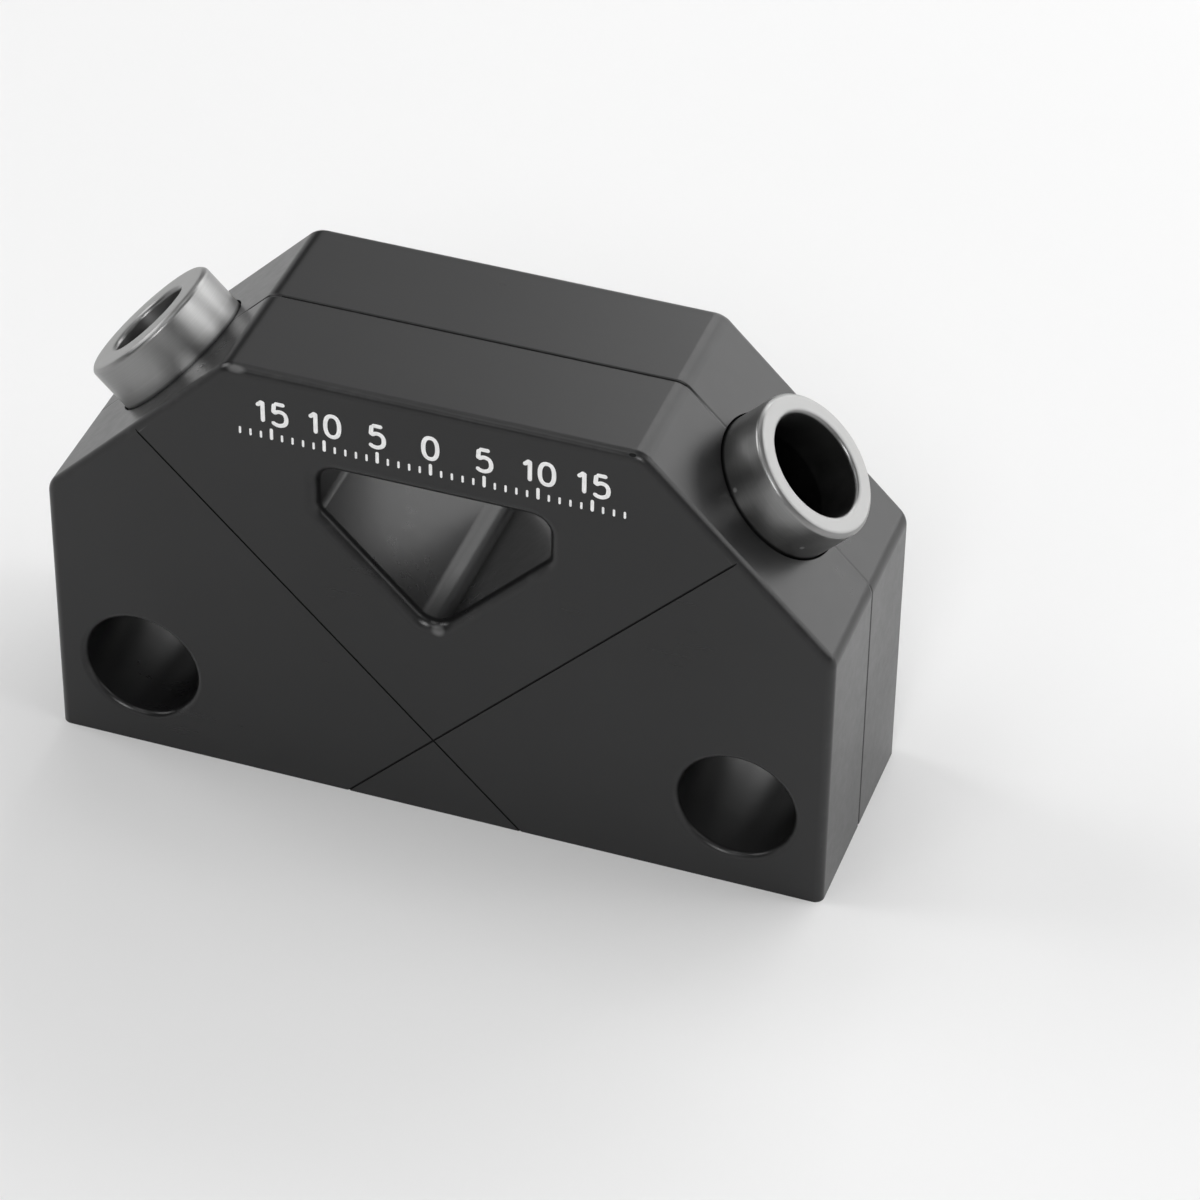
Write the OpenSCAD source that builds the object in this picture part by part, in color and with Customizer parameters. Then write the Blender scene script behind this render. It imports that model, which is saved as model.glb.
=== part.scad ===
// Pocket hole jig: a moulded block that guides a drill at a slant into the edge of a board.
// A steel bush is pressed into each shoulder, and the two guide bores cross under the window.
// The block stands on its base at the origin: +X to the right, front face towards -Y, +Z up.

/* [Block] */
// Width of the block along its base
block_w = 75; // [72:0.5:90]
// Height of the block from its base to its top
block_h = 46; // [44:0.5:56]
// Thickness of the block from front to back
block_t = 23.2; // [18:0.1:32]
// Length of each sloping shoulder face, up the slope
shoulder_len = 25.5; // [20:0.5:28]
// Radius of the outline at both ends of a shoulder
outline_r = 2.2; // [1.2:0.1:3]
// Radius along the front and back edges
edge_r = 0.9; // [0.3:0.1:1]
// Width of the moulding line round the middle of the thickness
seam_w = 0.3; // [0.1:0.05:0.6]

/* [Guide bushes] */
// Angle of the guide bores above the base
bore_angle = 45; // [43:0.5:47]
// Outside diameter of a bush
bush_od = 14; // [12:0.25:15]
// Bore of the left bush, which the smaller drill runs in
left_bush_id = 8; // [6:0.25:10.5]
// Bore of the right bush, which the larger drill runs in
right_bush_id = 10; // [6:0.25:10.5]
// Length of a bush
bush_len = 25; // [16:0.5:28]
// Height of a bush above its shoulder
bush_proud = 4.75; // [2:0.25:6]
// Chamfer at the outer edges of a bush
bush_edge = 0.4; // [0.1:0.05:0.6]
// Chamfer that leads the drill into the bore
bush_lead = 0.3; // [0.1:0.05:0.6]
// Gap between a bush and its seat, on the radius
seat_clearance = 0.01; // [0.005:0.005:0.05]
// Gap between the drill and the block below a bush, on the radius
drill_clearance = 0.25; // [0.1:0.05:0.6]

/* [Window] */
// Width of the window between its upright sides
window_w = 21.8; // [18:0.2:24]
// Rail left above the window, up to the top of the block
window_rail = 9.4; // [7:0.2:10.4]
// Wall left between the window and a bush seat
window_web = 1.9; // [0.8:0.1:2.4]
// Radius at the two upper corners of the window
window_top_r = 1.8; // [1.2:0.1:2.4]
// Radius where the upright sides turn into the slopes
window_side_r = 1.4; // [1.2:0.1:2.4]
// Radius of the valley at the bottom of the window
window_valley_r = 2.2; // [1.2:0.1:3]
// Radius along the front and back rims of the window
window_rim_r = 0.8; // [0.3:0.1:1]

/* [Clamp holes] */
// Diameter of a clamp hole
hole_d = 11; // [8:0.25:12]
// Distance from a hole's centre to the side of the block
hole_side = 8.5; // [7.5:0.25:14]
// Distance from a hole's centre to the base
hole_base = 9; // [8:0.25:12]
// Radius along the front and back rims of a hole
hole_rim_r = 0.7; // [0.3:0.1:1]

/* [Sight lines] */
// Width of a line that marks a bore's axis on the front face
line_w = 0.25; // [0.15:0.05:0.6]
// Depth of such a line
line_depth = 0.15; // [0.05:0.05:0.4]

/* [Hidden] */
$fn = 96;

body_colour = [0.15, 0.155, 0.16];
steel_colour = [0.74, 0.75, 0.76];

// Steps in each arc of an outline, and in each rounded edge or rim
corner_steps = 8;
edge_steps = 6;

// How far a cut runs past the face that it opens
overrun = 1;

// Sides of the block, as the sign of x
left = -1;
right = 1;

// Shoulders: the bores stand square on them, so their slope follows from the bore angle
shoulder_run = shoulder_len * sin(bore_angle);
shoulder_drop = shoulder_len * cos(bore_angle);
foot = [block_w / 2, block_h - shoulder_drop];
brow = [block_w / 2 - shoulder_run, block_h];
mouth = (foot + brow) / 2;

// Bush seat, and the drill's way from it to the base
seat_r = bush_od / 2 + seat_clearance;
seat_depth = bush_len - bush_proud;
function bush_bore_r(side) = (side == left ? left_bush_id : right_bush_id) / 2;
function drill_r(side) = bush_bore_r(side) + drill_clearance;
axis_to_base = mouth[1] / sin(bore_angle);
function drill_reach(side) = axis_to_base + drill_r(side) / tan(bore_angle) + overrun;

// The window's slopes run beside the bush seats and would meet at this height
crossing_z = mouth[1] - mouth[0] * tan(bore_angle);
valley_z = crossing_z + (seat_r + window_web) / cos(bore_angle);
window_half = window_w / 2;
window_side_z = valley_z + window_half * tan(bore_angle);
window_top_z = block_h - window_rail;

// Outlines in the front view, anticlockwise. Each corner holds its sharp point, the directions
// that the two sides there face, in degrees, and its radius.
block_corners = [
    [foot, 0, bore_angle, outline_r],
    [brow, bore_angle, 90, outline_r],
    [[-brow[0], brow[1]], 90, 180 - bore_angle, outline_r],
    [[-foot[0], foot[1]], 180 - bore_angle, 180, outline_r]
];
window_corners = [
    [[0, valley_z], -90 - bore_angle, bore_angle - 90, window_valley_r],
    [[window_half, window_side_z], bore_angle - 90, 0, window_side_r],
    [[window_half, window_top_z], 0, 90, window_top_r],
    [[-window_half, window_top_z], 90, 180, window_top_r],
    [[-window_half, window_side_z], 180, 270 - bore_angle, window_side_r]
];

function unit(angle) = [cos(angle), sin(angle)];

// Arc of one corner, drawn in by an inset, or out by a negative one
function corner_arc(corner, inset) =
    let (
        from = corner[1],
        to = corner[2],
        r = corner[3],
        centre = corner[0] - r / cos((to - from) / 2) * unit((from + to) / 2)
    )
    [for (k = [0 : corner_steps])
        centre + (r - inset) * unit(from + (to - from) * k / corner_steps)];

function arcs(corners, inset) = [for (corner = corners) each corner_arc(corner, inset)];

// The block's outline keeps its base sharp
function block_outline(inset) = [
    [foot[0] - inset, 0],
    each arcs(block_corners, inset),
    [inset - foot[0], 0]
];

// Quarter round between a wall and a face, as [set back from the wall, depth below the face]
function quarter_round(r) =
    [for (k = [0 : edge_steps]) r * ([1, 1] - unit(90 * k / edge_steps))];

// Insets of the block's outline from front to back, as [inset, y]
half_t = block_t / 2;
block_edge = quarter_round(edge_r);
block_sections = [
    for (k = [edge_steps : -1 : 0]) [block_edge[k][0], block_edge[k][1] - half_t],
    [0, -seam_w / 2],
    [seam_w / 2, 0],
    [0, seam_w / 2],
    for (k = [0 : edge_steps]) [block_edge[k][0], half_t - block_edge[k][1]]
];

// Openings of the window from front to back, as [inset, y]; they widen, so the inset is negative
window_edge = quarter_round(window_rim_r);
window_sections = [
    [-window_rim_r, -half_t - overrun],
    for (k = [edge_steps : -1 : 0]) [-window_edge[k][0], window_edge[k][1] - half_t],
    for (k = [0 : edge_steps]) [-window_edge[k][0], half_t - window_edge[k][1]],
    [-window_rim_r, half_t + overrun]
];

// Solid through rings of points that all run anticlockwise in the front view, front ring first
module lofted(rings) {
    count = len(rings[0]);
    last = len(rings) - 1;
    polyhedron(
        points = [for (ring = rings) each ring],
        faces = [
            [for (j = [count - 1 : -1 : 0]) j],
            for (i = [0 : last - 1], j = [0 : count - 1])
                let (next = (j + 1) % count)
                [i * count + j, i * count + next, (i + 1) * count + next, (i + 1) * count + j],
            [for (j = [0 : count - 1]) last * count + j]
        ]
    );
}

// Puts a shape on a bore's axis: z = 0 on the shoulder, +Z out of the bore
module on_bore(side) {
    translate([side * mouth[0], 0, mouth[1]])
        rotate([0, side * (90 - bore_angle), 0])
            children();
}

module block_blank() {
    lofted([for (s = block_sections) [for (p = block_outline(s[0])) [p[0], s[1], p[1]]]]);
}

module window_cut() {
    lofted([for (s = window_sections) [for (p = arcs(window_corners, s[0])) [p[0], s[1], p[1]]]]);
}

module clamp_hole_cut(side) {
    rim = quarter_round(hole_rim_r);
    hole_r = hole_d / 2;
    mouth_r = hole_r + hole_rim_r;
    translate([side * (block_w / 2 - hole_side), 0, hole_base])
        rotate([90, 0, 0])
            rotate_extrude()
                polygon([
                    [0, -half_t - overrun],
                    [mouth_r, -half_t - overrun],
                    for (k = [edge_steps : -1 : 0]) [hole_r + rim[k][0], rim[k][1] - half_t],
                    for (k = [0 : edge_steps]) [hole_r + rim[k][0], half_t - rim[k][1]],
                    [mouth_r, half_t + overrun],
                    [0, half_t + overrun]
                ]);
}

module guide_bore_cut(side) {
    on_bore(side) {
        translate([0, 0, -seat_depth])
            cylinder(r = seat_r, h = seat_depth + overrun);
        translate([0, 0, -drill_reach(side)])
            cylinder(r = drill_r(side), h = drill_reach(side));
    }
}

module sight_line_cut(side) {
    on_bore(side)
        translate([-line_w / 2, -half_t - overrun, -axis_to_base - overrun])
            cube([line_w, overrun + line_depth, axis_to_base + 2 * overrun]);
}

module jig_body() {
    color(body_colour)
        difference() {
            block_blank();
            window_cut();
            for (side = [left, right]) {
                clamp_hole_cut(side);
                guide_bore_cut(side);
                sight_line_cut(side);
            }
        }
}

module guide_bush(side) {
    outer_r = bush_od / 2;
    inner_r = bush_bore_r(side);
    color(steel_colour)
        on_bore(side)
            rotate_extrude()
                polygon([
                    [inner_r, bush_proud - bush_lead],
                    [inner_r, bush_lead - seat_depth],
                    [inner_r + bush_lead, -seat_depth],
                    [outer_r - bush_edge, -seat_depth],
                    [outer_r, bush_edge - seat_depth],
                    [outer_r, bush_proud - bush_edge],
                    [outer_r - bush_edge, bush_proud],
                    [inner_r + bush_lead, bush_proud]
                ]);
}

module left_guide_bush() {
    guide_bush(left);
}

module right_guide_bush() {
    guide_bush(right);
}

jig_body();
left_guide_bush();
right_guide_bush();
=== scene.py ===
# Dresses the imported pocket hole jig: a moulded block, two turned steel bushes and a printed scale.
# Lengths of the pieces are in millimetres, and mm turns them into metres where a mesh is made.
# Sizes of noise and bumps in the materials are in metres, as the shader sees them.
import math

import bmesh
import bpy
import numpy as np
from mathutils import Matrix, Vector


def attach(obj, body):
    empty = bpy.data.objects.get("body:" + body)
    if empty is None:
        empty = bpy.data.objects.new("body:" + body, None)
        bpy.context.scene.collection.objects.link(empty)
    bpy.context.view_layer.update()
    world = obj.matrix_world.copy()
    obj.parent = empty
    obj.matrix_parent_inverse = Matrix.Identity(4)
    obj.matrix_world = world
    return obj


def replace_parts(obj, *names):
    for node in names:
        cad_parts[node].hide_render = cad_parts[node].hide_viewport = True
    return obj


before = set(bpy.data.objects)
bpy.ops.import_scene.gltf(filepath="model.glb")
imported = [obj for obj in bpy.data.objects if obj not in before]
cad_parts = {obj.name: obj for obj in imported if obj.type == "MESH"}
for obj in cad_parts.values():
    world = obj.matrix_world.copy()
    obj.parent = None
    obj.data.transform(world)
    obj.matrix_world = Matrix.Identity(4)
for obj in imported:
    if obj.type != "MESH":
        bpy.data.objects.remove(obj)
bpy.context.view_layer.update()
print("frame:", ", ".join(sorted(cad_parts)))

mm = 0.001
sharpAngle = 30  # degrees between faces, above which an edge is shown sharp
scene = bpy.context.scene
scene.view_settings.view_transform = "Standard"


# quads between neighbouring rows and columns of a grid, wrapped where the surface closes on itself
def gridQuads(rows, columns, wrapRows, wrapColumns):
    i = np.arange(rows if wrapRows else rows - 1)[:, None]
    j = np.arange(columns if wrapColumns else columns - 1)[None, :]
    nextI, nextJ = (i + 1) % rows, (j + 1) % columns
    corners = [i * columns + j, nextI * columns + j, nextI * columns + nextJ, i * columns + nextJ]
    return np.stack(corners, -1).reshape(-1, 4)


def smoothShading(mesh, degrees):
    mesh.polygons.foreach_set("use_smooth", np.ones(len(mesh.polygons), bool))
    mesh.set_sharp_from_angle(angle=math.radians(degrees))


def newPiece(name, points, faces, sharp=sharpAngle):
    mesh = bpy.data.meshes.new(name)
    mesh.from_pydata((points.reshape(-1, 3) * mm).tolist(), [], faces)
    # a closed surface whose volume comes out negative is inside out
    probe = bmesh.new()
    probe.from_mesh(mesh)
    if probe.calc_volume(signed=True) < 0:
        mesh.flip_normals()
    probe.free()
    smoothShading(mesh, sharp)
    piece = bpy.data.objects.new(name, mesh)
    scene.collection.objects.link(piece)
    return piece


# a loft: rings of points, front ring first, joined by quads and closed by one flat face at each end
def newLoft(name, rings):
    count, size = rings.shape[:2]
    quads = gridQuads(count, size, False, True).tolist()
    front = list(range(size))
    back = list(range(count * size - 1, (count - 1) * size - 1, -1))
    return newPiece(name, rings, [front, *quads, back])


def unit(degrees):
    angle = np.radians(degrees)
    return np.stack([np.cos(angle), np.sin(angle)], -1)


# a bush, its seat in the block and the bore below it; soften rounds the edges of the bush,
# and the mouth is a narrow flare round it in the shoulder
bush = {
    "outside": 14, "leftBore": 8, "rightBore": 10, "length": 25, "proud": 4.75,
    "edge": 0.4, "lead": 0.3, "soften": 0.48, "softSteps": 5, "around": 192,
    "seatGap": 0.01, "lowerGap": 0.25, "mouthGap": 0.18, "mouthDepth": 0.35,
}


def newMaterial(name):
    material = bpy.data.materials.new(name)
    material.use_nodes = True
    return material, material.node_tree, material.node_tree.nodes["Principled BSDF"]


# joins another node's output to a socket, or sets the socket's value
def feed(tree, socket, value):
    if isinstance(value, bpy.types.NodeSocket):
        tree.links.new(value, socket)
    else:
        socket.default_value = value


def addNode(tree, kind, settings, feeds, output=0):
    made = tree.nodes.new("ShaderNode" + kind)
    for key, value in settings.items():
        setattr(made, key, value)
    for key, value in feeds.items():
        feed(tree, made.inputs[key], value)
    return made.outputs[output]


def addMath(tree, operation, a, b=0.0):
    return addNode(tree, "Math", {"operation": operation}, {0: a, 1: b})


# carries a value from the range low to high over to the range start to end
def addRange(tree, value, low, high, start, end, smooth=False):
    kind = "SMOOTHSTEP" if smooth else "LINEAR"
    feeds = {0: value, 1: low, 2: high, 3: start, 4: end}
    return addNode(tree, "MapRange", {"interpolation_type": kind}, feeds)


# noise whose patches are about the given size, in the units of the coordinates
def addNoise(tree, where, size, detail=2.0, rough=0.5):
    feeds = {"Vector": where, "Scale": 1 / size, "Detail": detail, "Roughness": rough}
    return addNode(tree, "TexNoise", {}, feeds)


def mixShades(tree, share, first, second):
    shades = [(*s, 1) if isinstance(s, tuple) else s for s in (first, second)]
    return addNode(tree, "Mix", {"data_type": "RGBA"}, {0: share, 6: shades[0], 7: shades[1]}, 2)


def objectPlace(tree):
    return addNode(tree, "TexCoord", {}, {}, "Object")


noiseSpread = (0.3, 0.7)  # most of a noise lies in this range
spotCore = 0.35  # share of a spot's radius that has its full strength


# one in the middle of a spot, falling to nothing at its edge; drawn out along x by a factor
def addSpot(tree, where, at, radius, long=1):
    squeeze = {0: where, 1: (1 / long, 1, 1)}
    squeezed = addNode(tree, "VectorMath", {"operation": "MULTIPLY"}, squeeze)
    centre = [at[0] / long * mm, at[1] * mm, at[2] * mm]
    ends = {0: squeezed, 1: centre}
    away = addNode(tree, "VectorMath", {"operation": "DISTANCE"}, ends, "Value")
    return addRange(tree, away, spotCore * radius * mm, radius * mm, 1, 0, True)


# moulded black: satin with a fine grain, faint flow patches, wipe marks, rubbed edges and two
# painted highlights, light spots at the left end of the top edge and on the rim under the window,
# each a place, a radius and a stretch along x.
moulded = {
    "dark": (0.0085, 0.0085, 0.0088), "light": (0.0115, 0.0115, 0.0118),
    "rubbed": (0.02, 0.02, 0.0205), "glintTone": (0.1, 0.1, 0.1),
    "paintedGlints": [((-18.3, -11.35, 45.75), 0.5, 2.4), ((0.5, -11.4, 21.45), 0.7, 1.2)],
    "rough": (0.28, 0.34), "gloss": 0.44, "ior": 1.5, "patch": 0.02,
    "grain": 0.00016, "grainDepth": 0.0000012,
    "wipe": 0.0009, "wipeStretch": 0.06, "wipeRough": 0.02,
    "scuff": 0.0022, "scuffed": (0.5, 0.72), "roundFrom": (0.2, 0.6), "roundTo": (0.8, 0.97),
}


def makeMoulded():
    material, tree, shader = newMaterial("moulded_black")
    where = objectPlace(tree)
    patch = addNoise(tree, where, moulded["patch"], detail=3)
    grain = addNoise(tree, where, moulded["grain"], rough=0.6)
    # wipe marks: noise drawn out along the block
    scaled = {"Vector": where, "Scale": (moulded["wipeStretch"], 1, 1)}
    stretched = addNode(tree, "Mapping", {}, scaled)
    wipe = addNoise(tree, stretched, moulded["wipe"], detail=3, rough=0.6)
    # rounds face neither along the depth nor square to it, so the depth share of the normal picks
    # them out
    normal = addNode(tree, "NewGeometry", {}, {}, "Normal")
    depthShare = addMath(tree, "ABSOLUTE", addNode(tree, "SeparateXYZ", {}, {0: normal}, "Y"))
    rising = addRange(tree, depthShare, *moulded["roundFrom"], 0, 1, True)
    falling = addRange(tree, depthShare, *moulded["roundTo"], 1, 0, True)
    scuff = addNoise(tree, where, moulded["scuff"], detail=4, rough=0.65)
    scuff = addRange(tree, scuff, *moulded["scuffed"], 0, 1)
    worn = addMath(tree, "MULTIPLY", addMath(tree, "MULTIPLY", rising, falling), scuff)
    flow = addRange(tree, patch, *noiseSpread, 0, 1)
    tone = mixShades(tree, flow, moulded["dark"], moulded["light"])
    tone = mixShades(tree, worn, tone, moulded["rubbed"])
    # painted highlights: each spot lightens the base colour towards its middle
    for spot in moulded["paintedGlints"]:
        tone = mixShades(tree, addSpot(tree, where, *spot), tone, moulded["glintTone"])
    feed(tree, shader.inputs["Base Color"], tone)
    rough = addRange(tree, patch, *noiseSpread, *moulded["rough"])
    wiped = addRange(tree, wipe, *noiseSpread, -moulded["wipeRough"], moulded["wipeRough"])
    feed(tree, shader.inputs["Roughness"], addMath(tree, "ADD", rough, wiped))
    bump = addNode(tree, "Bump", {}, {"Distance": moulded["grainDepth"], "Height": grain})
    feed(tree, shader.inputs["Normal"], bump)
    shader.inputs["IOR"].default_value = moulded["ior"]
    shader.inputs["Specular IOR Level"].default_value = moulded["gloss"]
    return material


# shade in the engraved lines, the moulding line, the mouths round the bushes and the nick: matt
# black, with a little dust
groove = {
    "dark": (0.002, 0.002, 0.002), "dust": (0.006, 0.006, 0.006),
    "speck": 0.0004, "dusty": (0.5, 0.7), "rough": 0.75, "gloss": 0.25,
}


def makeGroove():
    material, tree, shader = newMaterial("shaded_groove")
    dust = addNoise(tree, objectPlace(tree), groove["speck"], detail=3)
    dust = addRange(tree, dust, *groove["dusty"], 0, 1)
    feed(tree, shader.inputs["Base Color"], mixShades(tree, dust, groove["dark"], groove["dust"]))
    shader.inputs["Roughness"].default_value = groove["rough"]
    shader.inputs["Specular IOR Level"].default_value = groove["gloss"]
    return material


# turned steel: rings that follow the tool, a duller ground face, an uneven clouded side, painted
# shade in the bore, a painted shadow round the foot where it meets the shoulder and a few bright
# specks, each a place and a radius. The ring and the edges are in millimetres along the tool's path,
# and the edges are measured below the top of the face, out from the bore and up from the shoulder.
steel = {
    "dark": (0.25, 0.25, 0.249), "light": (0.285, 0.285, 0.283), "face": (0.45, 0.45, 0.447),
    "bore": (0.2, 0.2, 0.199), "foot": (0.09, 0.09, 0.09), "bright": (0.7, 0.7, 0.696),
    "rough": (0.3, 0.4), "faceRough": 0.68,
    "faceEdge": (0.12, 0.03), "boreEdge": (0.02, 0.2), "footEdge": (0.05, 0.42),
    "ring": 0.07, "ringDepth": 0.000001, "cloud": 0.0035, "wave": 0.004, "waveDepth": 0.00008,
    "specks": [((26.14, -5.83, 40.11), 0.3), ((32.43, -5.80, 35.37), 0.3)],
}


def makeSteel():
    material, tree, shader = newMaterial("turned_steel")
    where = objectPlace(tree)
    tool = addNode(tree, "Attribute", {"attribute_name": "toolPath"}, {}, "Vector")
    fromBore = addNode(tree, "SeparateXYZ", {}, {0: tool}, "Y")
    height = addNode(tree, "SeparateXYZ", {}, {0: tool}, "Z")
    # rings: noise that changes fast along the profile and not at all round the bush
    rings = addNoise(tree, tool, steel["ring"], detail=3, rough=0.6)
    faceStart, faceEnd = (bush["proud"] - below for below in steel["faceEdge"])
    onFace = addRange(tree, height, faceStart, faceEnd, 0, 1, True)
    # painted shade: the bore and the inner part of the lead at its mouth are darkened
    boreShade = addRange(tree, fromBore, *steel["boreEdge"], 1, 0, True)
    # painted shadow round the foot of the bush, where it stands in the shoulder
    footShadow = addRange(tree, height, *steel["footEdge"], 1, 0, True)
    onRing = addRange(tree, rings, *noiseSpread, 0, 1)
    tone = mixShades(tree, onRing, steel["dark"], steel["light"])
    tone = mixShades(tree, onFace, tone, steel["face"])
    tone = mixShades(tree, boreShade, tone, steel["bore"])
    tone = mixShades(tree, footShadow, tone, steel["foot"])
    for at, radius in steel["specks"]:
        tone = mixShades(tree, addSpot(tree, where, at, radius), tone, steel["bright"])
    feed(tree, shader.inputs["Base Color"], tone)
    cloud = addNoise(tree, where, steel["cloud"], detail=4, rough=0.6)
    rough = addRange(tree, cloud, *noiseSpread, *steel["rough"])
    sideRough = addMath(tree, "MULTIPLY", rough, addMath(tree, "SUBTRACT", 1.0, onFace))
    faceRough = addMath(tree, "MULTIPLY", onFace, steel["faceRough"])
    feed(tree, shader.inputs["Roughness"], addMath(tree, "ADD", sideRough, faceRough))
    wave = addNoise(tree, where, steel["wave"], detail=1)
    bump = addNode(tree, "Bump", {}, {"Distance": steel["waveDepth"], "Height": wave})
    ringBump = {"Distance": steel["ringDepth"], "Height": rings, "Normal": bump}
    feed(tree, shader.inputs["Normal"], addNode(tree, "Bump", {}, ringBump))
    shader.inputs["Metallic"].default_value = 1
    return material


# white pad-print ink, a little thin in places
whiteInk = {
    "thin": (0.9, 0.9, 0.9), "full": (0.97, 0.97, 0.965),
    "patch": 0.0006, "covered": (0.35, 0.6), "rough": 0.5,
}


def makeInk():
    material, tree, shader = newMaterial("white_ink")
    cover = addNoise(tree, objectPlace(tree), whiteInk["patch"], detail=4, rough=0.6)
    cover = addRange(tree, cover, *whiteInk["covered"], 0, 1)
    tone = mixShades(tree, cover, whiteInk["thin"], whiteInk["full"])
    feed(tree, shader.inputs["Base Color"], tone)
    shader.inputs["Roughness"].default_value = whiteInk["rough"]
    return material


mouldedBlack, shadedGroove = makeMoulded(), makeGroove()
turnedSteel, padInk = makeSteel(), makeInk()
made = (mouldedBlack, shadedGroove, turnedSteel, padInk)
print("materials:", ", ".join(material.name for material in made))


# block: runStep is the spacing of points along its straight sides, and faceSetback draws the front
# and back in, so that the ink stays inside the CAD box
block = {
    "width": 75, "height": 46, "thickness": 23.2, "shoulder": 25.5, "slope": 45,
    "outlineRadius": 2.2, "edgeRadius": 0.9, "faceSetback": 0.03,
    "cornerSteps": 18, "edgeSteps": 12, "runStep": 1.5,
}
# moulding line round the middle of the thickness: deep on the top, faint down the shoulders, softer
# on the sides; shade is the number of rings shaded either side of its bottom, right of and above
# shadeFrom
seam = {
    "half": 0.24, "depth": 0.17, "steps": 8, "shade": 4, "shadeFrom": (-17.5, 44.9),
    "heights": [0, 25, 29.5, 43.4, 45.2, 46], "strengths": [0.6, 0.6, 0.12, 0.12, 0.9, 1],
}
window = {
    "width": 21.8, "rail": 9.4, "web": 1.9, "top": 1.8, "side": 1.4, "valley": 2.2, "rim": 1.25,
}
clampHole = {"diameter": 11, "side": 8.5, "base": 9, "rim": 0.7, "around": 96}
# section of an engraved line, as distance up from its middle and depth: steep lower wall, flat
# floor, sloping upper lip
sightLine = {"section": [(-0.1, 0), (-0.08, 0.15), (-0.01, 0.15), (0.0, 0.055), (0.1, 0)]}
# a knock on the top edge; pole is the angle from each pole at which the cutting ball ends
nick = {
    "at": (18.5, -11.47, 45.94), "radii": (0.62, 0.34, 0.3), "around": 24, "steps": 10, "pole": 15,
}
overrun = 1  # how far a cutter runs past the face that it opens
sliver = 0.000004  # metres; points closer than this are drawn together after the cuts

faceDepth = block["thickness"] / 2 - block["faceSetback"]
slope = math.radians(block["slope"])
footX, footZ = block["width"] / 2, block["height"] - block["shoulder"] * math.cos(slope)
foot = np.array([footX, footZ])
brow = np.array([footX - block["shoulder"] * math.sin(slope), block["height"]])
mouth = (foot + brow) / 2
crossing = mouth[1] - mouth[0] * math.tan(slope)
seatRadius = bush["outside"] / 2 + bush["seatGap"]
leftSide, rightSide = -1, 1  # as the sign of x
boreRadius = {leftSide: bush["leftBore"] / 2, rightSide: bush["rightBore"] / 2}


# each corner is an arc about the point that lies a radius inside both sides, from the direction
# that one side faces to the direction that the next one faces
def cornerArcs(corners, inset, steps):
    point = np.array([c[0] for c in corners], float)
    start, end, radius = (np.array([c[k] for c in corners], float) for k in (1, 2, 3))
    reach = radius / np.cos(np.radians(end - start) / 2)
    centre = point - reach[:, None] * unit((start + end) / 2)
    turn = start[:, None] + (end - start)[:, None] * np.linspace(0, 1, steps + 1)
    arcs = centre[:, None] + (radius - inset)[:, None, None] * unit(turn)
    return arcs.reshape(-1, 2)


# set back from a wall and depth below a face, from the wall's end of the round to the face's
def quarterRound(radius, steps):
    return radius * (1 - unit(np.linspace(0, 90, steps + 1)))


def ringsAlongDepth(outline, sections):
    rings = [np.insert(outline(inset), 1, depth, axis=1) for inset, depth in sections]
    return np.array(rings)


def blockOutline(inset):
    s, r = block["slope"], block["outlineRadius"]
    corners = [
        (foot, 0, s, r), (brow, s, 90, r),
        (brow * [-1, 1], 90, 180 - s, r), (foot * [-1, 1], 180 - s, 180, r),
    ]
    ends = np.array([[foot[0] - inset, 0], [inset - foot[0], 0]])
    return np.vstack([ends[:1], cornerArcs(corners, inset, block["cornerSteps"]), ends[1:]])


# points spread along the straight runs too, at the same share of each run in every ring
def spreadAlong(ring):
    gap = np.linalg.norm(np.diff(blockOutline(0), axis=0), axis=1)
    count = np.maximum(1, np.round(gap / block["runStep"])).astype(int)
    runs = [k + np.arange(n) / n for k, n in enumerate(count)]
    place = np.concatenate(runs + [[len(ring) - 1]])
    return np.stack([np.interp(place, np.arange(len(ring)), ring[:, k]) for k in (0, 1)], -1)


# groove of the moulding line: one cosine wave across, its depth set by the height on the block
def seamRings():
    across = np.linspace(-1, 1, 2 * seam["steps"] + 1)
    wave = 0.5 + 0.5 * np.cos(np.pi * across)
    flush, deep = spreadAlong(blockOutline(0)), spreadAlong(blockOutline(seam["depth"]))
    strength = np.interp(flush[:, 1], seam["heights"], seam["strengths"])
    flat = flush + (wave[:, None] * strength)[..., None] * (deep - flush)
    depth = (across * seam["half"])[:, None, None]
    depth = np.broadcast_to(depth, (len(across), len(flush), 1))
    return np.concatenate([flat[..., :1], depth, flat[..., 1:]], -1)


# the bottom of the moulding line is shaded on the top of the block: material 1 for those quads,
# 0 for the rest
def shadeSeam(rings, before):
    count, size = rings.shape[:2]
    x, z = rings[0, :, 0], rings[0, :, 2]
    minX, minZ = seam["shadeFrom"]
    shaded = np.zeros((count - 1, size), np.int32)
    middle = before + seam["steps"]
    shaded[middle - seam["shade"]:middle + seam["shade"], (x > minX) & (z > minZ)] = 1
    return np.concatenate([[0], shaded.ravel(), [0]]).astype(np.int32)


def windowOutline(inset):
    s, half = block["slope"], window["width"] / 2
    valley = crossing + (seatRadius + window["web"]) / math.cos(slope)
    side, top = valley + half * math.tan(slope), block["height"] - window["rail"]
    corners = [
        ((0, valley), -90 - s, s - 90, window["valley"]),
        ((half, side), s - 90, 0, window["side"]), ((half, top), 0, 90, window["top"]),
        ((-half, top), 90, 180, window["top"]), ((-half, side), 180, 270 - s, window["side"]),
    ]
    return cornerArcs(corners, inset, block["cornerSteps"])


# a lathe turn: a profile of radius and height swept round the z axis
def lathePoints(profile, around):
    turn = unit(np.arange(around) * 360 / around)
    radial = profile[None, :, :1] * turn[:, None, :]
    height = np.broadcast_to(profile[None, :, 1:], (around, len(profile), 1))
    return np.concatenate([radial, height], -1)


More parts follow.
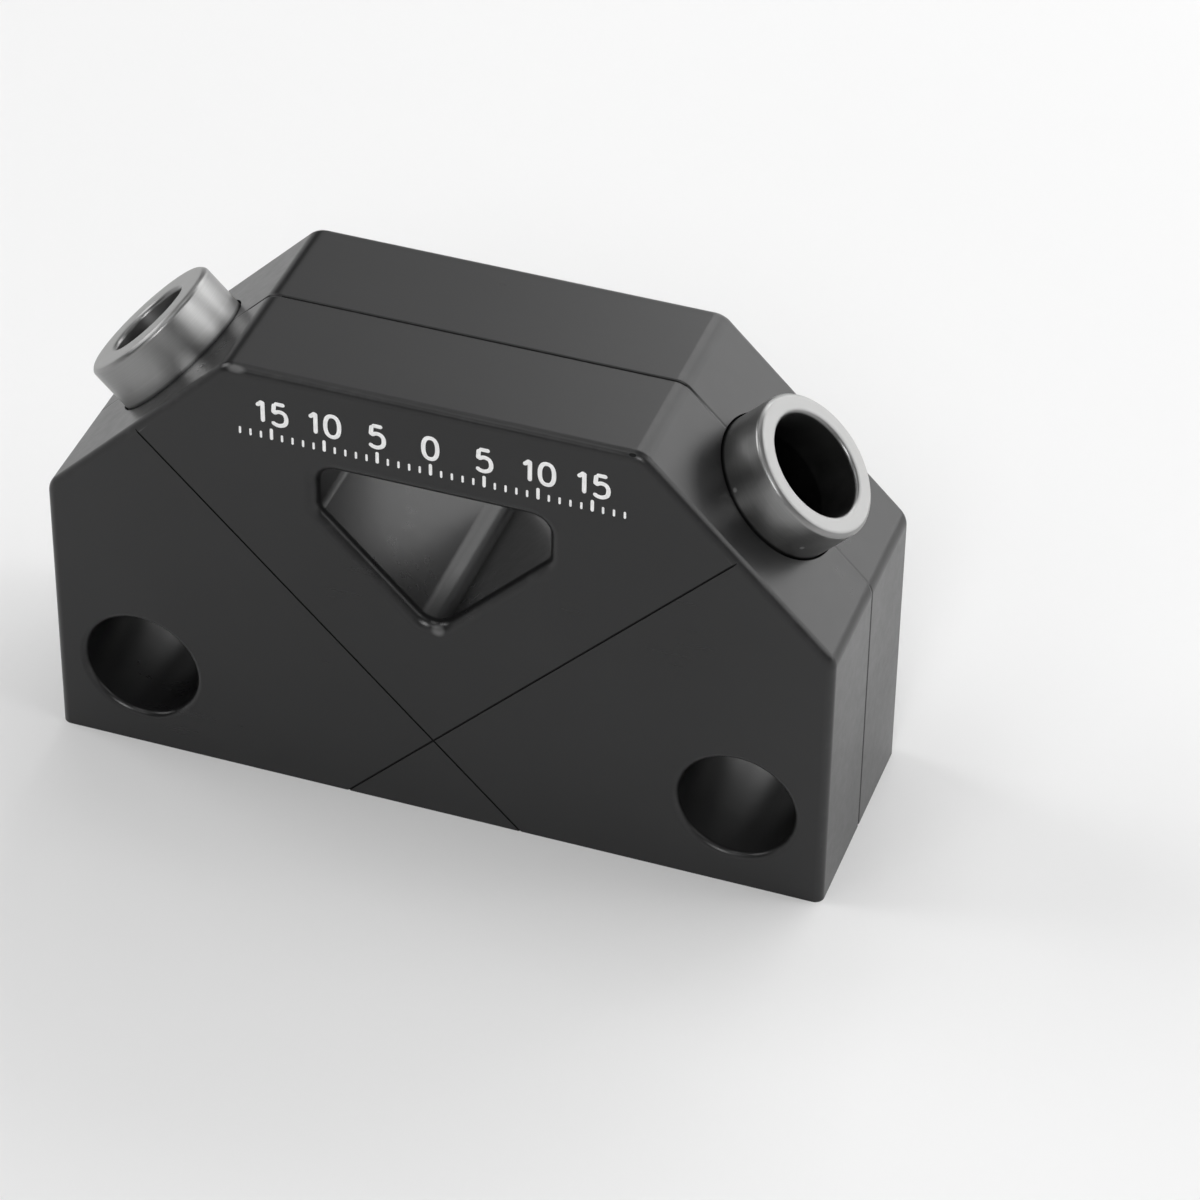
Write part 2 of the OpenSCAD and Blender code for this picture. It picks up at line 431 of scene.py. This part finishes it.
# faces of a lathe turn whose open profile is closed by one flat face at each end
def latheFaces(count, around):
    quads = gridQuads(around, count, True, False).tolist()
    low = [k * count for k in range(around - 1, -1, -1)]
    high = [k * count + count - 1 for k in range(around)]
    return [low, *quads, high]


def latheCutter(name, profile, around, place):
    points = lathePoints(np.array(profile, float), around)
    return newPiece(name, place(points), latheFaces(len(profile), around))


# stands a shape on a shoulder: z = 0 on the shoulder face, +z out along the bore
def onBore(points, side):
    tilt = side * (math.pi / 2 - slope)
    x, y, z = np.moveaxis(points, -1, 0)
    outX = x * math.cos(tilt) + z * math.sin(tilt)
    outZ = z * math.cos(tilt) - x * math.sin(tilt)
    return np.stack([outX, y, outZ], -1) + np.array([side * mouth[0], 0, mouth[1]])


def holeCutter(side):
    rim = quarterRound(clampHole["rim"], block["edgeSteps"])
    radius = clampHole["diameter"] / 2
    flare = np.stack([radius + rim[:, 0], faceDepth - rim[:, 1]], -1)
    flare = np.vstack([flare, [radius + clampHole["rim"], faceDepth + overrun]])
    profile = np.vstack([flare[::-1] * [1, -1], flare])
    centre = [side * (block["width"] / 2 - clampHole["side"]), 0, clampHole["base"]]

    # turns the lathe's axis to the depth of the block
    def place(p):
        return np.stack([p[..., 0], -p[..., 2], p[..., 1]], -1) + np.array(centre)

    return latheCutter("hole_cutter", profile, clampHole["around"], place)


def boreCutter(side):
    seatDepth, lower = bush["length"] - bush["proud"], boreRadius[side] + bush["lowerGap"]
    reach = mouth[1] / math.sin(slope) + lower / math.tan(slope) + overrun
    # the mouth flares evenly from a little way down and on through the shoulder face
    deep = bush["mouthDepth"]
    flare = bush["mouthGap"] * (deep + overrun) / deep
    profile = [
        [lower, -reach], [lower, -seatDepth], [seatRadius, -seatDepth],
        [seatRadius, -deep], [seatRadius + flare, overrun],
    ]
    cutter = latheCutter("bore_cutter", profile, bush["around"], lambda p: onBore(p, side))
    cutter.data.materials.append(mouldedBlack)
    cutter.data.materials.append(shadedGroove)
    # the flare, which is the last span of the profile, lies in shade: material 1 there, 0 elsewhere
    shaded = np.zeros((bush["around"], len(profile) - 1), np.int32)
    shaded[:, -1] = 1
    shaded = np.concatenate([[0], shaded.ravel(), [0]]).astype(np.int32)
    cutter.data.polygons.foreach_set("material_index", shaded)
    return cutter


# an engraved line: its section carried along the bore's axis, with the sloping lip uppermost
def lineCutter(side):
    section = np.array(sightLine["section"], float)
    section = np.vstack([[section[0, 0], -overrun], section, [section[-1, 0], -overrun]])
    section = np.stack([-side * section[:, 0], section[:, 1] - faceDepth], -1)
    ends = (-mouth[1] / math.sin(slope) - overrun, overrun)
    rings = np.stack([np.insert(section, 2, end, axis=1) for end in ends])
    cutter = newLoft("line_cutter", onBore(rings, side))
    cutter.data.materials.append(shadedGroove)
    return cutter


# a small ball, cut flat at its poles
def nickCutter():
    turn = np.radians(np.linspace(nick["pole"], 180 - nick["pole"], nick["steps"]))
    profile = np.stack([np.sin(turn), -np.cos(turn)], -1)

    def place(p):
        return p * np.array(nick["radii"]) + np.array(nick["at"])

    cutter = latheCutter("nick_cutter", profile, nick["around"], place)
    cutter.data.materials.append(shadedGroove)
    return cutter


def cutAway(piece, cutters):
    for cutter in cutters:
        cut = piece.modifiers.new("cut", "BOOLEAN")
        cut.object, cut.operation, cut.solver = cutter, "DIFFERENCE", "EXACT"
        cut.material_mode = "TRANSFER"
    shaped = piece.evaluated_get(bpy.context.evaluated_depsgraph_get())
    mesh = bpy.data.meshes.new_from_object(shaped)
    piece.modifiers.clear()
    piece.data = mesh
    for cutter in cutters:
        bpy.data.objects.remove(cutter)
    # drawing close points together clears the slivers that the cuts leave
    clean = bmesh.new()
    clean.from_mesh(mesh)
    bmesh.ops.remove_doubles(clean, verts=clean.verts, dist=sliver)
    bmesh.ops.dissolve_degenerate(clean, edges=clean.edges, dist=sliver)
    clean.to_mesh(mesh)
    clean.free()
    smoothShading(mesh, sharpAngle)


# the block: its outline drawn in by a quarter round at the front and back, a groove at mid depth
def makeBlock():
    edge = quarterRound(block["edgeRadius"], block["edgeSteps"])[::-1]
    front = np.stack([edge[:, 0], edge[:, 1] - faceDepth], -1)

    def outline(inset):
        return spreadAlong(blockOutline(inset))

    frontRings = ringsAlongDepth(outline, front)
    backRings = ringsAlongDepth(outline, front[::-1] * [1, -1])
    rings = np.concatenate([frontRings, seamRings(), backRings])
    blank = newLoft("moulded_block", rings)
    blank.data.materials.append(mouldedBlack)
    blank.data.materials.append(shadedGroove)
    blank.data.polygons.foreach_set("material_index", shadeSeam(rings, len(frontRings)))
    rim = quarterRound(window["rim"], block["edgeSteps"])[::-1]
    flare = np.stack([-rim[:, 0], rim[:, 1] - faceDepth], -1)
    flare = np.vstack([[-window["rim"], -faceDepth - overrun], flare])
    openings = np.vstack([flare, flare[::-1] * [1, -1]])
    opening = newLoft("window_cutter", ringsAlongDepth(windowOutline, openings))
    cutters = [opening]
    for makeCutter in (holeCutter, boreCutter, lineCutter):
        cutters += [makeCutter(side) for side in (leftSide, rightSide)]
    cutters.append(nickCutter())
    for cutter in cutters:
        if not cutter.data.materials:
            cutter.data.materials.append(mouldedBlack)
    cutAway(blank, cutters)
    even = blank.modifiers.new("even normals", "WEIGHTED_NORMAL")
    even.keep_sharp = True
    return blank


body = makeBlock()
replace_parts(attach(body, "root"), "jig_body")
print("block:", len(body.data.polygons), "faces")


# each corner of a closed profile is rounded by a curve, and straight runs join the curves
def softProfile(corners, radius, steps):
    corner = np.array(corners, float)
    toLast, toNext = np.roll(corner, 1, 0) - corner, np.roll(corner, -1, 0) - corner
    toLast /= np.linalg.norm(toLast, axis=1, keepdims=True)
    toNext /= np.linalg.norm(toNext, axis=1, keepdims=True)
    half = np.arccos(np.clip((toLast * toNext).sum(1), -1, 1)) / 2
    reach = (radius / np.tan(half))[:, None]
    t = np.linspace(0, 1, steps + 1)[None, :, None]
    start, end = (corner + toLast * reach)[:, None], (corner + toNext * reach)[:, None]
    # quadratic curve from one tangent point to the other, drawn towards the corner
    arc = (1 - t) ** 2 * start + 2 * t * (1 - t) * corner[:, None] + t ** 2 * end
    return arc.reshape(-1, 2)


def makeBush(name, side, node):
    outer, inner = bush["outside"] / 2, boreRadius[side]
    low, high = bush["proud"] - bush["length"], bush["proud"]
    edge, lead = bush["edge"], bush["lead"]
    corners = [
        (inner, low + lead), (inner + lead, low), (outer - edge, low), (outer, low + edge),
        (outer, high - edge), (outer - edge, high), (inner + lead, high), (inner, high - lead),
    ]
    profile = softProfile(corners, bush["soften"], bush["softSteps"])
    points = lathePoints(profile, bush["around"])
    quads = gridQuads(bush["around"], len(profile), True, True)
    piece = newPiece(name, onBore(points, side), quads.tolist())
    # the tool's path at every point, in millimetres: radius, distance from the bore, height
    cut = piece.data.attributes.new("toolPath", "FLOAT_VECTOR", "POINT")
    path = np.stack([profile[:, 0], profile[:, 0] - inner, profile[:, 1]], -1)
    path = np.tile(path, (bush["around"], 1))
    cut.data.foreach_set("vector", path.astype(np.float32).ravel())
    piece.data.materials.append(turnedSteel)
    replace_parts(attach(piece, "root"), node)
    return piece


leftBush = makeBush("left_turned_bush", leftSide, "left_guide_bush")
rightBush = makeBush("right_turned_bush", rightSide, "right_guide_bush")
print("bushes:", len(leftBush.data.polygons), "and", len(rightBush.data.polygons), "faces")


# printed scale on the front: ticks every millimetre from the middle, numbered every few. The film
# stands proud of the block, each further stroke of a figure by one more lift, and its outer lanes
# are sunk in the block. bevel is where its inner lanes lie, as a share of half its width, and blunt
# keeps its ends from closing to a point.
scale = {
    "reach": 18, "numberEvery": 5, "base": 38.95, "tick": 0.75, "longTick": 1.25,
    "tickWidth": 0.24, "longTickWidth": 0.34,
    "figure": 2.25, "figureBase": 40.75, "figureWidth": 0.44, "advance": 1.62,
    "film": 0.02, "lift": 0.003, "sink": 0.02, "bevel": 0.86, "blunt": 0.02,
    "pathPoints": 64, "pathCuts": 3, "inkSharpAngle": 60,
}
# strokes of each figure in a box one unit high, as points that the pen passes near
figureStrokes = {
    "1": [[(0.1, 0.74), (0.26, 0.88), (0.36, 1)], [(0.36, 1), (0.36, 0)]],
    "5": [
        [(0.13, 1), (0.58, 1)], [(0.13, 1), (0.09, 0.53)],
        [
            (0.09, 0.53), (0.34, 0.68), (0.62, 0.56), (0.64, 0.12),
            (0.38, -0.04), (0.14, 0), (0.03, 0.12),
        ],
    ],
}
# the nought, in the same box: an oval a little squarer than the ellipse that power 1 would give
nought = {"centre": (0.34, 0.5), "half": (0.29, 0.5), "power": 0.85}


# distance gone along a path, up to each of its points
def gone(path):
    return np.concatenate([[0], np.cumsum(np.linalg.norm(np.diff(path, axis=0), axis=1))])


# corner cutting, a few times over: each side keeps its points at one quarter and three quarters
def penPath(points):
    path = np.array(points, float)
    for _ in range(scale["pathCuts"]):
        near, far = 0.75 * path[:-1] + 0.25 * path[1:], 0.25 * path[:-1] + 0.75 * path[1:]
        path = np.vstack([path[:1], np.stack([near, far], 1).reshape(-1, 2), path[-1:]])
    along = gone(path)
    even = np.linspace(0, along[-1], scale["pathPoints"])
    return np.stack([np.interp(even, along, path[:, k]) for k in (0, 1)], -1)


# an ink film along a path: four lanes across it, the outer two sunk and the inner two proud, with
# the width drawn in along a half circle at both ends
def inkFilm(path, width, lift=0, closed=False):
    if closed:
        along = np.roll(path, -1, 0) - np.roll(path, 1, 0)
        half = np.full(len(path), width / 2)
    else:
        along = np.gradient(path, axis=0)
        fromStart = gone(path)
        toEnd = np.minimum(fromStart, fromStart[-1] - fromStart) / (width / 2)
        half = width / 2 * np.sqrt(1 - (1 - np.clip(toEnd, scale["blunt"], 1)) ** 2)
    along /= np.linalg.norm(along, axis=1, keepdims=True)
    across = np.stack([-along[:, 1], along[:, 0]], -1)
    lanes = np.array([-1, -scale["bevel"], scale["bevel"], 1])
    flat = path[:, None] + (half[:, None] * lanes)[..., None] * across[:, None]
    sunk, proud = scale["sink"], -scale["film"] - lift
    film = np.insert(flat, 1, 0, axis=-1)
    film[..., 1] = np.array([sunk, proud, proud, sunk]) - faceDepth
    return film, closed


# films of one figure; each stroke lies a little higher than the one before, where they overlap
def figureFilms(figure, x, z):
    corner, width, height = np.array([x, z]), scale["figureWidth"], scale["figure"]
    if figure == "0":
        turn = unit(np.linspace(0, 360, scale["pathPoints"], endpoint=False))
        oval = np.sign(turn) * np.abs(turn) ** nought["power"]
        oval = np.array(nought["centre"]) + np.array(nought["half"]) * oval
        return [inkFilm(corner + oval * height, width, closed=True)]
    paths = [corner + penPath(stroke) * height for stroke in figureStrokes[figure]]
    return [inkFilm(path, width, k * scale["lift"]) for k, path in enumerate(paths)]


def scaleFilms():
    films = []
    figureSpan = 2 * nought["centre"][0] * scale["figure"]
    for x in range(-scale["reach"], scale["reach"] + 1):
        long = x % scale["numberEvery"] == 0
        length = scale["longTick" if long else "tick"]
        width = scale["longTickWidth" if long else "tickWidth"]
        films.append(inkFilm(penPath([(x, scale["base"]), (x, scale["base"] + length)]), width))
        if long:
            label = str(abs(x))
            left = x - (figureSpan + (len(label) - 1) * scale["advance"]) / 2
            for place, figure in enumerate(label):
                films += figureFilms(figure, left + place * scale["advance"], scale["figureBase"])
    return films


def makeScale():
    points, faces, start = [], [], 0
    for film, closed in scaleFilms():
        rows, lanes = film.shape[:2]
        faces += (gridQuads(rows, lanes, closed, True)[:, ::-1] + start).tolist()
        if not closed:
            first = np.arange(lanes) + start
            last = first + (rows - 1) * lanes
            faces += [first[::-1].tolist(), last.tolist()]
        points.append(film.reshape(-1, 3))
        start += rows * lanes
    piece = newPiece("printed_scale", np.vstack(points), faces, scale["inkSharpAngle"])
    piece.data.materials.append(padInk)
    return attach(piece, "root")


ink = makeScale()
print("scale:", len(ink.data.polygons), "faces")


# pale floor
ground = {"half": 6000, "shade": (0.84, 0.84, 0.84, 1), "rough": 0.9, "gloss": 0.1}
groundCorners = np.array([[-1, -1, 0], [1, -1, 0], [1, 1, 0], [-1, 1, 0]], float) * ground["half"]
floor = newPiece("studio_floor", groundCorners, [[0, 1, 2, 3]])
paleFloor, _, floorShader = newMaterial("pale_floor")
floorShader.inputs["Base Color"].default_value = ground["shade"]
floorShader.inputs["Roughness"].default_value = ground["rough"]
floorShader.inputs["Specular IOR Level"].default_value = ground["gloss"]
floor.data.materials.append(paleFloor)

# soft boxes round the block: azimuth from the front and elevation in degrees, size in metres, and
# brightness; all stand at one distance and face a point just above the floor
softBoxes = {
    "front": {"turn": (12, 42), "size": (0.25, 0.3), "bright": 8.2},
    "frontLow": {"turn": (345, 14), "size": (0.3, 0.25), "bright": 0.9},
    "frontRightLow": {"turn": (45, 14), "size": (0.5, 0.3), "bright": 0.4},
    "right": {"turn": (90, 36), "size": (0.5, 0.4), "bright": 2},
    "rightHigh": {"turn": (90, 60), "size": (0.5, 0.5), "bright": 0.7},
    "sideRearLow": {"turn": (112, 14), "size": (0.33, 0.3), "bright": 3.1},
    "sideRear": {"turn": (112, 36), "size": (0.33, 0.35), "bright": 1.6},
    "rightRearLow": {"turn": (135, 14), "size": (0.33, 0.3), "bright": 2.95},
    "rightRear": {"turn": (135, 36), "size": (0.33, 0.35), "bright": 0.9},
    "rearRightLow": {"turn": (157, 14), "size": (0.33, 0.3), "bright": 1.8},
    "rearRight": {"turn": (154, 33), "size": (0.33, 0.35), "bright": 2.8},
    "rearLow": {"turn": (180, 14), "size": (0.33, 0.3), "bright": 1.2},
    "rear": {"turn": (180, 36), "size": (0.33, 0.35), "bright": 3.7},
    "rearHigh": {"turn": (217, 64), "size": (0.22, 0.22), "bright": 2.3},
    "rearLeft": {"turn": (202, 36), "size": (0.33, 0.35), "bright": 0.8},
    "left": {"turn": (270, 38), "size": (0.5, 0.4), "bright": 3.8},
    "overhead": {"turn": (304, 74), "size": (0.3, 0.3), "bright": 2.3},
    "key": {"turn": (334, 47), "size": (0.2, 0.2), "bright": 2.5},
}
studio = {"radius": 0.85, "aim": (0, 0, 0.02)}


def towards(azimuth, elevation):
    a, e = math.radians(azimuth), math.radians(elevation)
    return Vector((math.sin(a) * math.cos(e), -math.cos(a) * math.cos(e), math.sin(e)))


for name, box in softBoxes.items():
    light = bpy.data.lights.new(name, "AREA")
    light.shape, (light.size, light.size_y) = "RECTANGLE", box["size"]
    light.energy = box["bright"] * math.pi * light.size * light.size_y
    lamp = bpy.data.objects.new(name, light)
    lamp.location = towards(*box["turn"]) * studio["radius"]
    aim = Vector(studio["aim"]) - lamp.location
    lamp.rotation_euler = aim.to_track_quat("-Z", "Y").to_euler()
    scene.collection.objects.link(lamp)

# dim room with a pale band along the horizon, so that low views end in a pale backdrop; the band
# fades out between two heights of the view direction
room = {"band": 0.8, "above": 0.03, "fade": (0.1, 0.15)}
world = bpy.data.worlds.new("studio")
world.use_nodes = True
tree = world.node_tree
background = tree.nodes["Background"]
lookAt = addNode(tree, "TexCoord", {}, {}, "Generated")
rise = addNode(tree, "SeparateXYZ", {}, {0: lookAt}, "Z")
strength = addRange(tree, rise, *room["fade"], room["band"], room["above"], True)
feed(tree, background.inputs["Strength"], strength)
background.inputs["Color"].default_value = (1, 1, 1, 1)
scene.world = world
print("light:", len(softBoxes), "soft boxes")

# camera: where the photograph was taken from, turned by azimuth, elevation and roll in degrees
shot = {
    "at": (0.12425, -0.33359, 0.30129), "azimuth": 18.604, "elevation": 38.674, "roll": -0.961,
    "lens": 148.37, "sensor": 36, "clip": (0.01, 20),
}
back, roll = towards(shot["azimuth"], shot["elevation"]), math.radians(shot["roll"])
level = (-back).cross(Vector((0, 0, 1))).normalized()
right = math.cos(roll) * level + math.sin(roll) * (-back).cross(level)
camera = bpy.data.objects.new("camera", bpy.data.cameras.new("camera"))
camera.data.lens, camera.data.sensor_width = shot["lens"], shot["sensor"]
camera.data.clip_start, camera.data.clip_end = shot["clip"]
camera.matrix_world = Matrix((right, back.cross(right), back)).transposed().to_4x4()
camera.location = shot["at"]
scene.collection.objects.link(camera)
scene.camera = camera
